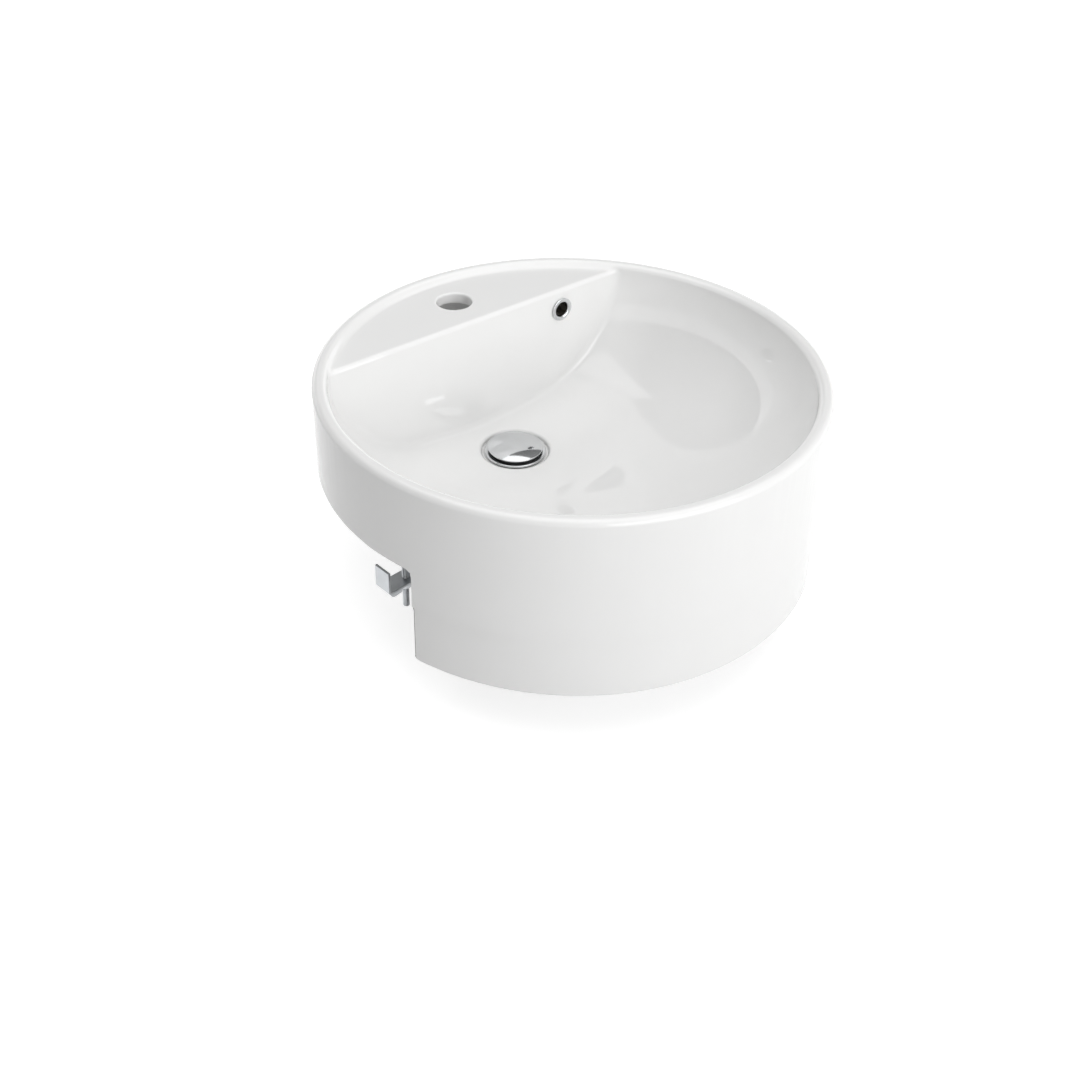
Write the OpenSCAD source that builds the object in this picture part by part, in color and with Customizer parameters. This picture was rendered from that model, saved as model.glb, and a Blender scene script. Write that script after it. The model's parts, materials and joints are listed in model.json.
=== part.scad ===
// Round semi recessed basin with its overflow ring, click waste and counter clamps.
// Origin: centre of the basin's circle, on the top of the counter. +Y points to the wall.

/* [Basin] */
// Outer diameter of the basin
basin_d = 460; // [440:5:520]
// Height of the rim above the counter
rim_h = 81; // [74:1:92]
// Depth of the front skirt below the counter top
skirt_h = 93; // [86:1:120]
// Distance from the basin's axis forward to the counter's front face
notch_y = 64; // [55:1:78]
// Thickness of the rim wall
wall_t = 13.5; // [12:0.5:16]
// Rounding of the rim's two edges
lip_r = 5.5; // [2:0.5:5.5]
// Thickness of the front skirt
skirt_t = 12; // [9:0.5:14]
// Rounding of the skirt's lower edge
foot_r = 3; // [1:0.5:4]
// Thickness of the skirt's flat back wall
notch_wall_t = 12; // [9:0.5:15]
// Width of the flat ring that sits on the counter
seat_w = 22; // [20:1:24]
// Thickness of the flat ring that sits on the counter
seat_t = 14; // [10:1:20]

/* [Bowl] */
// Depth of the bowl's floor below the rim
bowl_depth = 119; // [114:1:122]
// Height of the straight inner wall between the tap deck's level and the bowl's curve
straight_h = 1; // [0.5:0.25:3]
// How late the wall starts to rise from the floor: more is later
wall_start = 1.9; // [1.6:0.1:2.2]
// How late the wall turns upright below the rim: less is later
wall_end = 0.56; // [0.5:0.01:0.62]
// Wall thickness of the bowl
shell_t = 11; // [9:0.5:13]
// Thickness of the floor
floor_t = 18; // [16:0.5:20]
// Fall of the floor towards the waste
dish_fall = 9; // [6:0.5:10]
// Radius of the dished floor around the waste, where the wall starts
dish_r = 88; // [80:1:94]

/* [Tap ledge] */
// Distance from the basin's axis back to the ledge's front face
ledge_y = 131; // [126:1:138]
// Depth of the tap deck below the rim
deck_drop = 6; // [6:0.5:9]
// Thickness of the tap deck
deck_t = 12; // [10:0.5:14]
// Thickness of the ledge's front wall
ledge_t = 11; // [9:0.5:13]
// Rounding of the deck's front edge
deck_edge_r = 4.5; // [2:0.5:6]
// Diameter of the tap hole
tap_hole_d = 35; // [32:0.5:36]
// Distance from the basin's axis back to the tap hole
tap_hole_y = 176; // [172:1:178]

/* [Overflow] */
// Distance of the overflow to the right of the middle
overflow_x = 100; // [90:1:110]
// Depth of the overflow's middle below the rim
overflow_drop = 28; // [28:0.5:34]
// Diameter of the hole in the ledge's wall
overflow_hole_d = 18; // [16:0.5:19]
// Width of the overflow channel
duct_w = 18; // [14:0.5:19]
// Height of the channel's level run under the bowl
duct_h = 20; // [16:0.5:22]
// Wall thickness of the channel
duct_t = 6; // [5:0.5:7]
// Outer diameter of the ring's collar
ring_d = 24; // [23:0.5:27]
// Thickness of the ring's collar
ring_t = 1.6; // [1.2:0.1:2.2]
// Wall thickness of the ring's sleeve
ring_wall = 1.2; // [0.8:0.1:1.6]
// Length of the ring's sleeve
ring_len = 10; // [7:0.5:12]
// Thickness of the seal behind the ring
ring_seal_t = 0.8; // [0.5:0.1:1.2]

/* [Waste] */
// Distance from the basin's axis back to the waste
waste_y = 78; // [72:1:80]
// Diameter of the recess for the waste's flange
recess_d = 66; // [65:0.5:70]
// Depth of the recess
recess_h = 4; // [3:0.5:5]
// Diameter of the hole for the waste
waste_hole_d = 46; // [44:0.5:48]
// Thickness of the basin under the recess
waste_grip = 42; // [38:1:48]
// Outer diameter of the boss around the waste hole
waste_boss_d = 78; // [76:1:84]
// Outer diameter of the waste's thread
tail_d = 41.91; // [41.9:0.01:41.92]
// Wall thickness of the waste body
tail_wall = 2; // [1.6:0.1:2.6]
// Length of the waste body below its flange
tail_len = 95; // [88:1:120]
// Diameter of the waste's flange
flange_d = 60; // [58:0.5:62]
// Thickness of the waste's flange
flange_t = 2; // [1.6:0.1:3]
// Thickness of the seal under the flange
flange_seal_t = 1.5; // [1:0.1:2.5]
// Width of the waste body's overflow windows
window_w = 13; // [9:0.5:15]
// Height of the waste body's overflow windows
window_h = 16; // [12:0.5:18]
// Thickness of the tapered rubber washer under the basin
under_seal_t = 6; // [4:0.5:9]
// Diameter of the tapered rubber washer
under_seal_d = 62; // [58:0.5:68]
// Thickness of the slip washer
slip_t = 1.5; // [1:0.1:2.5]
// Width of the back nut across its flats
nut_af = 54; // [52:0.5:58]
// Thickness of the back nut
nut_h = 10; // [8:0.5:14]

/* [Plug] */
// Diameter of the plug's cap
cap_d = 54; // [53:0.5:57]
// Height of the cap's side
cap_side = 4; // [3:0.1:5]
// Rise of the cap's dome
cap_rise = 2.6; // [1.5:0.1:4]
// Gap between the closed plug's seal and the flange
plug_gap = 0.3; // [0.2:0.05:0.6]
// Height of the seal that shows below the cap
seal_show = 0.7; // [0.4:0.1:1.2]
// Travel of the plug from closed to open
plug_travel = 9; // [6:0.5:9]
// Diameter of the plunger's rod
rod_d = 8; // [7:0.5:9]
// Outer diameter of the click barrel
barrel_d = 18; // [17:0.5:20]
// Wall thickness of the click barrel
barrel_wall = 2.5; // [2:0.1:2.8]
// Thickness of the barrel's collar
collar_t = 2.5; // [2:0.1:4]
// Height of the plunger's crown
crown_h = 6; // [5:0.5:8]
// Height of the turning ratchet
rotor_h = 6; // [5:0.5:8]
// Wire thickness of the spring
wire_d = 1; // [0.8:0.1:1.2]
// Number of turns of the spring
spring_turns = 6; // [4:0.5:7]
// Diameter of the stud under the barrel
stud_d = 6; // [5:0.5:6]

/* [Clamps] */
// Thickness of the counter that the clamps hold
counter_t = 30; // [18:1:40]
// Distance from the edge of the basin in to the clamps' studs
clamp_inset = 34; // [33:0.5:36]
// Diameter of the boss above each clamp
clamp_boss_d = 23; // [22:0.5:24]
// Diameter of the anchor in each boss
anchor_d = 10; // [9:0.5:11]
// Length of the anchor in each boss
anchor_len = 17; // [14:0.5:20]
// Diameter of the clamps' studs
clamp_stud_d = 6; // [5:0.5:6]
// Length of the clamps' studs
clamp_stud_len = 66; // [62:1:90]
// Width of the claws
claw_w = 18; // [16:0.5:20]
// Thickness of the claws' plate
claw_t = 2.5; // [2:0.1:3]
// Reach of the claws from their stud
claw_reach = 25; // [24:0.5:27]
// Room between the boss and the claw's plate
claw_drop = 18; // [14:0.5:22]

/* [Fits] */
// Radial clearance of parts that slide or turn in each other
run_gap = 0.05; // [0.02:0.01:0.08]
// Gap between faces of moving and still parts
face_gap = 0.3; // [0.2:0.05:0.5]
// Radial clearance of washers and nuts on what they sit on
slip_gap = 0.15; // [0.05:0.05:0.3]

/* [Hidden] */
$fn = 96;

eps = 0.01; // overlap that joins solids cleanly
over = 1; // how far a cut runs past what it cuts
smooth = 180; // facets of the basin's large circles

// Heights of the basin
rim_r = basin_d / 2;
bowl_r = rim_r - wall_t;
merge_r = rim_r - wall_t / 2; // inside the rim wall, where inner solids end
floor_z = rim_h - bowl_depth;
deck_z = rim_h - deck_drop;
curve_z = deck_z - straight_h;
under_z = floor_z - floor_t;
lip_flat = 2; // least flat left between the rim's two rounded edges
lip_edge = min(lip_r, (wall_t - lip_flat) / 2);
joint_z = (deck_z + rim_h - lip_edge) / 2; // inside the rim wall, below its rounded edges
ledge_back = ledge_y + ledge_t;
pad_inset = 8; // from the dished floor's edge in to the flat pad under it

// The bowl's wall. Its level sections are circles, from the dished floor's circle around the waste
// to the rim's circle around the basin's axis. The share goes from 0 at the first to 1 at the last.
bowl_steps = 14;
bowl_sides = 48; // facets of each section
curve_h = curve_z - floor_z;
wall_run = bowl_r - dish_r;
apex_y = waste_y * bowl_r / wall_run; // where the circles would shrink to a point
function rise(share) = curve_h * (1 - pow(1 - pow(share, wall_start), wall_end));
function tilt(share) = atan2(curve_h * wall_start * wall_end * pow(share, wall_start - 1),
    wall_run * pow(1 - pow(share, wall_start), 1 - wall_end));
function share_at(x, y) = let (spare = bowl_r * bowl_r - apex_y * apex_y, back = (y - apex_y) * apex_y)
    ((back + sqrt(back * back + spare * (x * x + pow(y - apex_y, 2)))) * bowl_r / spare - dish_r) / wall_run;

edge_inset = 1; // from a metal rim's edge in to the seal behind it

// Overflow
overflow_z = rim_h - overflow_drop;
duct_y = ledge_back + duct_w / 2;
duct_angle = atan2(duct_y - waste_y, overflow_x);
duct_run = norm([overflow_x, duct_y - waste_y]);
duct_cover = 2; // from the floor's underside down to the level run's ceiling
duct_top = under_z - duct_cover;

// Waste, from the recess down
dish_z = floor_z - dish_fall;
recess_z = dish_z - recess_h;
flange_under = recess_z + flange_seal_t;
flange_top = flange_under + flange_t;
tail_r = tail_d / 2;
bore_r = tail_r - tail_wall;
tail_end = flange_under - tail_len;
seal_taper = 3; // how much narrower the tapered washer and the slip washer are below
boss_z = recess_z - waste_grip;
slip_z = boss_z - under_seal_t;
nut_z = slip_z - slip_t;
window_z = duct_top - (duct_h + window_h) / 2;

// Plug, from the flange up
seal_z = flange_top + plug_gap;
cap_z = seal_z + seal_show;
cap_top = cap_z + cap_side;
cap_r = cap_d / 2;
dome_r = (cap_r * cap_r + cap_rise * cap_rise) / (2 * cap_rise);
seal_inset = 2.5; // from the cap's edge in to its seal
seal_lap = 1.5; // how far the flange reaches under the cap's seal, at the least
seal_in = bore_r + seal_lap;
seal_out = cap_r - seal_inset;
seal_t = 2;
cap_hollow_h = 2; // hollow in the cap's underside, within its seal
cap_rib = 1.5; // rib between the seal and that hollow
socket_wall = 3; // the cap's socket around the rod
socket_r = rod_d / 2 + socket_wall;
socket_h = 9;
socket_gap = 1; // from the closed cap's socket down to the collar

// Click mechanism, from the collar down
collar_z = seal_z - socket_h - socket_gap - collar_t;
barrel_r = barrel_d / 2;
barrel_in = barrel_r - barrel_wall;
rod_r = rod_d / 2;
crown_z = collar_z - face_gap - plug_travel - crown_h;
rotor_top = crown_z - face_gap;
rotor_z = rotor_top - rotor_h;
pin_r = 2.5; // the plunger's pin that the ratchet turns on
spring_pitch = 1.9; // rise of each turn of the closed plug's spring, in wire thicknesses
spring_room = (spring_turns * spring_pitch + 1) * wire_d;
spring_top = rotor_z - face_gap;
spring_z = spring_top - spring_room;
barrel_base = 4;
bridge_top = spring_z - barrel_base;
bridge_h = 6;
bridge_w = 7;
bridge_hub = 4; // wall around the stud
stud_r = stud_d / 2;
stud_tip = 4; // how far the stud stands out below the bridge
stud_head_h = 2;
stud_head_w = 1.5; // how far its head stands out around it

// Clamps, from the bowl's wall down
clamp_r = rim_r - clamp_inset;
clamp_angles = [-5, 35, 145, 185];
cover_t = 7; // glazed wall left above the anchor
rib_t = 16; // rib from each boss out to the flat ring
rib_drop = 4; // from the flat ring's top down to the rib's top
heel = clamp_boss_d / 2; // where the claws' heels stand, from their studs
heel_swing = norm([heel, claw_w / 2]);
function wall_z(r, a) = floor_z + rise(share_at(r * cos(a), r * sin(a)));
function shell_z(r, a) = wall_z(r, a) - shell_t * norm([1, wall_z(r + 1, a) - wall_z(r, a)]);
clamp_z = min([for (a = clamp_angles) min(shell_z(clamp_r - heel_swing, a),
    wall_z(clamp_r - anchor_d / 2, a) - cover_t - anchor_len)]);
anchor_top = clamp_z + anchor_len;
anchor_rim = 1.5;
anchor_rim_w = 2; // how far the anchor's rim stands out around it
anchor_end = 3; // closed end of the anchor above the stud
clamp_stud_r = clamp_stud_d / 2;
clamp_stud_top = anchor_top - anchor_end;
plate_top = min(clamp_z, -counter_t) - claw_drop;
plate_z = plate_top - claw_t;
washer_t = 1;
washer_w = 5; // width of the washer's ring
washer_z = plate_z - face_gap - washer_t;
wing_hub_r = 6;
wing_hub_h = 6;
wing_h = 10; // height of each wing
wing_t = 2;
wing_reach = 13;
wing_z = washer_z - wing_hub_h;

// What lies in front of the plane y = limit
module front_of(limit) {
    intersection() {
        children();
        translate([-rim_r - over, limit - 3 * rim_r, -2 * rim_r])
            cube([2 * (rim_r + over), 3 * rim_r, 4 * rim_r]);
    }
}

// A ring around Z
module ring(outer, inner, low, high) {
    rotate_extrude() translate([inner, low]) square([outer - inner, high - low]);
}

// The space of the bowl up to where its wall is upright, grown by a thickness
module bowl_solid(grow) {
    hull() for (i = [0 : bowl_steps]) {
        share = sin(90 * i / bowl_steps);
        angle = tilt(share);
        translate([0, waste_y * (1 - share), floor_z + rise(share) - grow * cos(angle)])
            cylinder(h = eps, r = dish_r + wall_run * share + grow * sin(angle), $fn = bowl_sides);
    }
}

// Everything that is open inside the bowl, above its floor
module bowl_space() {
    difference() {
        union() {
            bowl_solid(0);
            translate([0, 0, curve_z]) cylinder(h = rim_h - curve_z + over, r = bowl_r, $fn = smooth);
            translate([0, waste_y, dish_z])
                cylinder(h = dish_fall + eps, r1 = recess_d / 2, r2 = dish_r);
        }
        ledge_block();
    }
}

// The tap ledge as a long bar with a round front edge
module ledge_block() {
    translate([-rim_r, 0, 0]) rotate([90, 0, 90]) linear_extrude(2 * rim_r) {
        translate([ledge_y + deck_edge_r, under_z]) square([rim_r, deck_z - under_z]);
        translate([ledge_y, under_z]) square([deck_edge_r + eps, deck_z - deck_edge_r - under_z]);
        translate([ledge_y + deck_edge_r, deck_z - deck_edge_r]) circle(deck_edge_r);
    }
}

// The rim wall's half section with its two rounded edges
module rim_section() {
    translate([bowl_r, 0]) square([wall_t, rim_h - lip_edge]);
    translate([bowl_r + lip_edge, 0]) square([wall_t - 2 * lip_edge, rim_h]);
    for (r = [bowl_r + lip_edge, rim_r - lip_edge])
        translate([r, rim_h - lip_edge]) circle(lip_edge);
}

// The skirt's half section with its rounded outer lower edge
module skirt_section() {
    translate([rim_r - skirt_t, -skirt_h]) square([skirt_t - foot_r, skirt_h + eps]);
    translate([rim_r - skirt_t, -skirt_h + foot_r]) square([skirt_t, skirt_h - foot_r + eps]);
    translate([rim_r - foot_r, -skirt_h + foot_r]) circle(foot_r);
}

// A bar along the level run of the overflow channel, from the waste's axis outwards
module along_duct(width, low, high) {
    translate([0, waste_y, low]) rotate(duct_angle)
        translate([0, -width / 2, 0]) cube([duct_run, width, high - low]);
}

module basin_solids() {
    front_of(ledge_back) {
        intersection() {
            bowl_solid(shell_t);
            translate([0, 0, under_z]) cylinder(h = rim_h - under_z, r = merge_r, $fn = smooth);
        }
        translate([0, waste_y, under_z]) cylinder(h = floor_t, r = dish_r - pad_inset);
    }
    rotate_extrude($fn = smooth) rim_section();
    ring(merge_r, rim_r - seat_w, 0, seat_t, $fn = smooth);
    intersection() {
        translate([0, 0, deck_z - deck_t])
            cylinder(h = joint_z - deck_z + deck_t, r = merge_r, $fn = smooth);
        translate([-rim_r, ledge_y, 0]) cube([2 * rim_r, rim_r, rim_h]);
    }
    front_of(-notch_y) rotate_extrude($fn = smooth) skirt_section();
    intersection() {
        translate([0, 0, -skirt_h]) cylinder(h = skirt_h + seat_t, r = rim_r - skirt_t / 2);
        translate([-rim_r, -notch_y - notch_wall_t, -skirt_h])
            cube([2 * rim_r, notch_wall_t, skirt_h + seat_t]);
    }
    translate([0, waste_y, boss_z])
        cylinder(h = dish_z - boss_z, r = waste_boss_d / 2);
    duct_outer();
    at_clamps() {
        translate([0, 0, clamp_z]) cylinder(h = seat_t - clamp_z, r = clamp_boss_d / 2);
        translate([0, -rib_t / 2, 0]) cube([rim_r - seat_w / 2 - clamp_r, rib_t, seat_t - rib_drop]);
    }
}

module duct_outer() {
    width = duct_w + 2 * duct_t;
    low = duct_top - duct_h - duct_t;
    along_duct(width, low, duct_top + duct_t);
    translate([overflow_x - width / 2, ledge_back - eps, low])
        cube([width, duct_w + duct_t, deck_z - deck_t - low + eps]);
}

module duct_inner() {
    low = duct_top - duct_h;
    along_duct(duct_w, low, duct_top);
    translate([overflow_x - duct_w / 2, ledge_back - over, low])
        cube([duct_w, duct_w + over, deck_z - deck_t - low]);
}

// Places children at each clamp, with +X pointing out from the basin's axis
module at_clamps() {
    for (a = clamp_angles) at_clamp(a) children();
}

module at_clamp(a) {
    rotate(a) translate([clamp_r, 0, 0]) children();
}

module at_waste() {
    translate([0, waste_y, 0]) children();
}

// Places children on the ledge's wall, with +Z pointing into the bowl
module at_overflow() {
    translate([overflow_x, ledge_y, overflow_z]) rotate([90, 0, 0]) children();
}

module basin_body() {
    color("whitesmoke") difference() {
        basin_solids();
        bowl_space();
        translate([0, tap_hole_y, deck_z - deck_t - over])
            cylinder(h = deck_t + 2 * over, r = tap_hole_d / 2);
        at_waste() {
            translate([0, 0, recess_z]) cylinder(h = floor_z - recess_z, r = recess_d / 2);
            translate([0, 0, boss_z - over])
                cylinder(h = waste_grip + 2 * over, r = waste_hole_d / 2);
        }
        duct_inner();
        at_overflow() translate([0, 0, -ledge_t - over])
            cylinder(h = ledge_t + 2 * over, r = overflow_hole_d / 2);
        at_clamps() translate([0, 0, clamp_z - over])
            cylinder(h = anchor_len + over, r = anchor_d / 2);
    }
}

module overflow_ring() {
    sleeve_r = overflow_hole_d / 2 - slip_gap;
    color("silver") at_overflow() rotate_extrude() difference() {
        union() {
            translate([0, -ring_len]) square([sleeve_r, ring_len + ring_seal_t + ring_t]);
            translate([0, ring_seal_t]) square([ring_d / 2 - ring_t / 2, ring_t]);
            translate([0, ring_seal_t]) square([ring_d / 2, ring_t / 2]);
            translate([ring_d / 2 - ring_t / 2, ring_seal_t + ring_t / 2]) circle(ring_t / 2);
        }
        translate([0, -ring_len - over])
            square([sleeve_r - ring_wall, ring_len + 2 * over + ring_seal_t + ring_t]);
    }
}

module overflow_seal() {
    color("dimgray") at_overflow()
        ring(ring_d / 2 - edge_inset, overflow_hole_d / 2 - slip_gap, 0, ring_seal_t);
}

module waste_body() {
    color("silver") at_waste() difference() {
        union() {
            translate([0, 0, tail_end]) cylinder(h = tail_len + eps, r = tail_r);
            rotate_extrude() {
                translate([0, flange_under]) square([flange_d / 2 - flange_t / 2, flange_t]);
                translate([flange_d / 2 - flange_t / 2, flange_under + flange_t / 2])
                    circle(flange_t / 2);
            }
        }
        difference() {
            translate([0, 0, tail_end - over])
                cylinder(h = tail_len + flange_t + 2 * over, r = bore_r);
            translate([0, 0, bridge_top - bridge_h]) bridge();
        }
        rotate(duct_angle) translate([-tail_d, -window_w / 2, window_z])
            cube([2 * tail_d, window_w, window_h]);
    }
}

// The cross that carries the click barrel
module bridge() {
    difference() {
        union() {
            for (a = [45, 135]) rotate(a) translate([-tail_r, -bridge_w / 2, 0])
                cube([tail_d, bridge_w, bridge_h]);
            cylinder(h = bridge_h, r = stud_r + bridge_hub);
        }
        translate([0, 0, -over]) cylinder(h = bridge_h + 2 * over, r = stud_r);
    }
}

module waste_flange_seal() {
    color("dimgray") at_waste()
        ring(flange_d / 2 - edge_inset, tail_r + slip_gap, recess_z, flange_under);
}

module waste_under_seal() {
    flat = under_seal_t / 2;
    color("dimgray") at_waste() difference() {
        union() {
            translate([0, 0, boss_z - flat]) cylinder(h = flat, r = under_seal_d / 2);
            translate([0, 0, slip_z])
                cylinder(h = under_seal_t - flat, r1 = under_seal_d / 2 - seal_taper, r2 = under_seal_d / 2);
        }
        translate([0, 0, slip_z - over])
            cylinder(h = under_seal_t + 2 * over, r = tail_r + slip_gap);
    }
}

module waste_slip_washer() {
    color("white") at_waste()
        ring(under_seal_d / 2 - seal_taper, tail_r + slip_gap, nut_z, slip_z);
}

module waste_back_nut() {
    collar_h = 2;
    collar_w = 2;
    color("goldenrod") at_waste() difference() {
        union() {
            translate([0, 0, nut_z - collar_h])
                cylinder(h = collar_h, r = nut_af / 2 + collar_w);
            translate([0, 0, nut_z - nut_h])
                cylinder(h = nut_h - collar_h + eps, r = nut_af / sqrt(3), $fn = 6);
        }
        translate([0, 0, nut_z - nut_h - over])
            cylinder(h = nut_h + 2 * over, r = tail_r + slip_gap);
    }
}

module plug_cap() {
    color("silver") at_waste() {
        difference() {
            union() {
                translate([0, 0, cap_z]) cylinder(h = cap_side, r = cap_r);
                intersection() {
                    translate([0, 0, cap_top + cap_rise - dome_r]) sphere(dome_r, $fn = smooth);
                    translate([0, 0, cap_top - eps]) cylinder(h = cap_rise + over, r = cap_r);
                }
            }
            ring(seal_out, seal_in, cap_z - over, seal_z + seal_t);
            ring(seal_in - cap_rib, socket_r, cap_z - over, cap_z + cap_hollow_h);
            translate([0, 0, cap_z - over]) cylinder(h = cap_hollow_h + over, r = rod_r);
        }
        ring(socket_r, rod_r, seal_z - socket_h, cap_z + eps);
    }
}

module plug_seal() {
    color("dimgray") at_waste() ring(seal_out, seal_in, seal_z, seal_z + seal_t);
}

module click_plunger() {
    slots = 8;
    slot_w = 1.2;
    slot_depth = 2;
    slot_end = 1; // what is left of the crown above the slots
    color("white") at_waste() {
        translate([0, 0, crown_z + crown_h - eps])
            cylinder(h = cap_z + cap_hollow_h - crown_z - crown_h, r = rod_r);
        difference() {
            translate([0, 0, crown_z]) cylinder(h = crown_h, r = barrel_in - face_gap);
            for (i = [0 : slots - 1]) rotate(360 * i / slots)
                translate([barrel_in - slot_depth, -slot_w / 2, crown_z - over])
                    cube([slot_depth + over, slot_w, crown_h - slot_end + over]);
        }
        translate([0, 0, rotor_z - face_gap]) cylinder(h = crown_z - rotor_z + over, r = pin_r);
    }
}

module click_rotor() {
    lugs = 4;
    lug_w = 1.6;
    lug_in = pin_r + 1;
    lug_out = barrel_in - face_gap - 0.2;
    color("orange") at_waste() {
        ring(barrel_in - 1.5, pin_r + run_gap, rotor_z, rotor_top);
        for (i = [0 : lugs - 1]) rotate(360 * i / lugs)
            translate([lug_in, -lug_w / 2, rotor_z]) cube([lug_out - lug_in, lug_w, rotor_h]);
    }
}

// A round wire bent into a helix around Z, with its lowest turn standing on z = 0
function wire_ring(a, coil_r, rise, wire_r, sides) = [for (s = [0 : sides - 1])
    let (b = 360 * s / sides, r = coil_r + wire_r * cos(b))
        [r * cos(a), r * sin(a), wire_r + rise * a / 360 + wire_r * sin(b)]];

module helix(coil_r, height, turns, wire_r) {
    sides = 8;
    steps = ceil(turns * 16);
    rise = (height - 2 * wire_r) / turns;
    points = [for (i = [0 : steps])
        each wire_ring(360 * turns * i / steps, coil_r, rise, wire_r, sides)];
    walls = [for (i = [0 : steps - 1], s = [0 : sides - 1])
        let (a = i * sides + s, b = i * sides + (s + 1) % sides)
            each [[a, a + sides, b + sides], [a, b + sides, b]]];
    first_end = [[for (s = [0 : sides - 1]) s]];
    last_end = [[for (s = [sides - 1 : -1 : 0]) steps * sides + s]];
    polyhedron(points, concat(walls, first_end, last_end), convexity = 10);
}

module click_spring() {
    color("lightsteelblue") at_waste() translate([0, 0, spring_z])
        helix(barrel_in - 1 - wire_d / 2, spring_room, spring_turns, wire_d / 2);
}

module click_barrel() {
    color("white") at_waste() difference() {
        translate([0, 0, bridge_top]) cylinder(h = collar_z - bridge_top, r = barrel_r);
        translate([0, 0, bridge_top + barrel_base])
            cylinder(h = collar_z - bridge_top, r = barrel_in);
        translate([0, 0, bridge_top - over])
            cylinder(h = barrel_base + 2 * over, r = stud_r);
    }
}

module click_collar() {
    skirt = 7;
    outer = barrel_r + 1.6;
    color("white") at_waste() {
        ring(outer, rod_r + run_gap, collar_z, collar_z + collar_t);
        ring(outer, barrel_r + eps, collar_z - skirt, collar_z + eps);
    }
}

module click_stud() {
    low = bridge_top - bridge_h - stud_tip;
    color("goldenrod") at_waste() {
        translate([0, 0, low])
            cylinder(h = bridge_top + barrel_base - low, r = stud_r);
        translate([0, 0, low - stud_head_h])
            cylinder(h = stud_head_h + eps, r = stud_r + stud_head_w, $fn = 6);
    }
}

module clamp_anchors() {
    color("white") at_clamps() difference() {
        union() {
            translate([0, 0, clamp_z - anchor_rim])
                cylinder(h = anchor_len + anchor_rim, r = anchor_d / 2);
            translate([0, 0, clamp_z - anchor_rim])
                cylinder(h = anchor_rim, r = anchor_d / 2 + anchor_rim_w);
        }
        translate([0, 0, clamp_z - anchor_rim - over])
            cylinder(h = clamp_stud_top - clamp_z + anchor_rim + over, r = clamp_stud_r);
    }
}

module clamp_studs() {
    color("silver") at_clamps() translate([0, 0, clamp_stud_top - clamp_stud_len])
        cylinder(h = clamp_stud_len, r = clamp_stud_r);
}

// A claw: a flat plate with an upturned toe under the counter and a heel under the boss
module claw(a) {
    color("lightgray") at_clamp(a) difference() {
        union() {
            translate([-heel, -claw_w / 2, plate_z]) cube([heel + claw_reach, claw_w, claw_t]);
            translate([claw_reach - claw_t, -claw_w / 2, plate_z])
                cube([claw_t, claw_w, -counter_t - face_gap - plate_z]);
            translate([-heel, -claw_w / 2, plate_z])
                cube([claw_t, claw_w, clamp_z - face_gap - plate_z]);
        }
        translate([0, 0, plate_z - over])
            cylinder(h = claw_t + 2 * over, r = clamp_stud_r + run_gap);
    }
}

module claw_right_front() { claw(clamp_angles[0]); }
module claw_right_rear() { claw(clamp_angles[1]); }
module claw_left_rear() { claw(clamp_angles[2]); }
module claw_left_front() { claw(clamp_angles[3]); }

module clamp_washers() {
    color("silver") at_clamps()
        ring(clamp_stud_r + washer_w, clamp_stud_r + run_gap, washer_z, washer_z + washer_t);
}

module clamp_wing_nuts() {
    tip_r = wing_h / 2;
    color("silver") at_clamps() difference() {
        union() {
            translate([0, 0, wing_z]) cylinder(h = wing_hub_h, r = wing_hub_r);
            for (side = [0, 180]) rotate(side)
                translate([wing_hub_r - 1, wing_t / 2, wing_z - tip_r])
                    rotate([90, 0, 0]) linear_extrude(wing_t) union() {
                        square([wing_reach - wing_hub_r, wing_h]);
                        translate([wing_reach - wing_hub_r, tip_r]) circle(tip_r);
                    }
        }
        translate([0, 0, wing_z - over])
            cylinder(h = wing_hub_h + 2 * over, r = clamp_stud_r + run_gap);
    }
}

basin_body();
overflow_ring();
overflow_seal();
waste_body();
waste_flange_seal();
waste_under_seal();
waste_slip_washer();
waste_back_nut();
plug_cap();
plug_seal();
click_plunger();
click_rotor();
click_spring();
click_barrel();
click_collar();
click_stud();
clamp_anchors();
clamp_studs();
claw_right_front();
claw_right_rear();
claw_left_front();
claw_left_rear();
clamp_washers();
clamp_wing_nuts();
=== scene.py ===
"""Round semi recessed basin with its overflow ring, click waste and counter clamps.

Everything is in metres, in the part's frame: the origin is the centre of the basin's circle on
the counter's top, +Z is up and +Y points to the wall.
"""
import json
import math

import bmesh
import bpy
import numpy as np
from mathutils import Euler, Matrix, Vector


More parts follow.
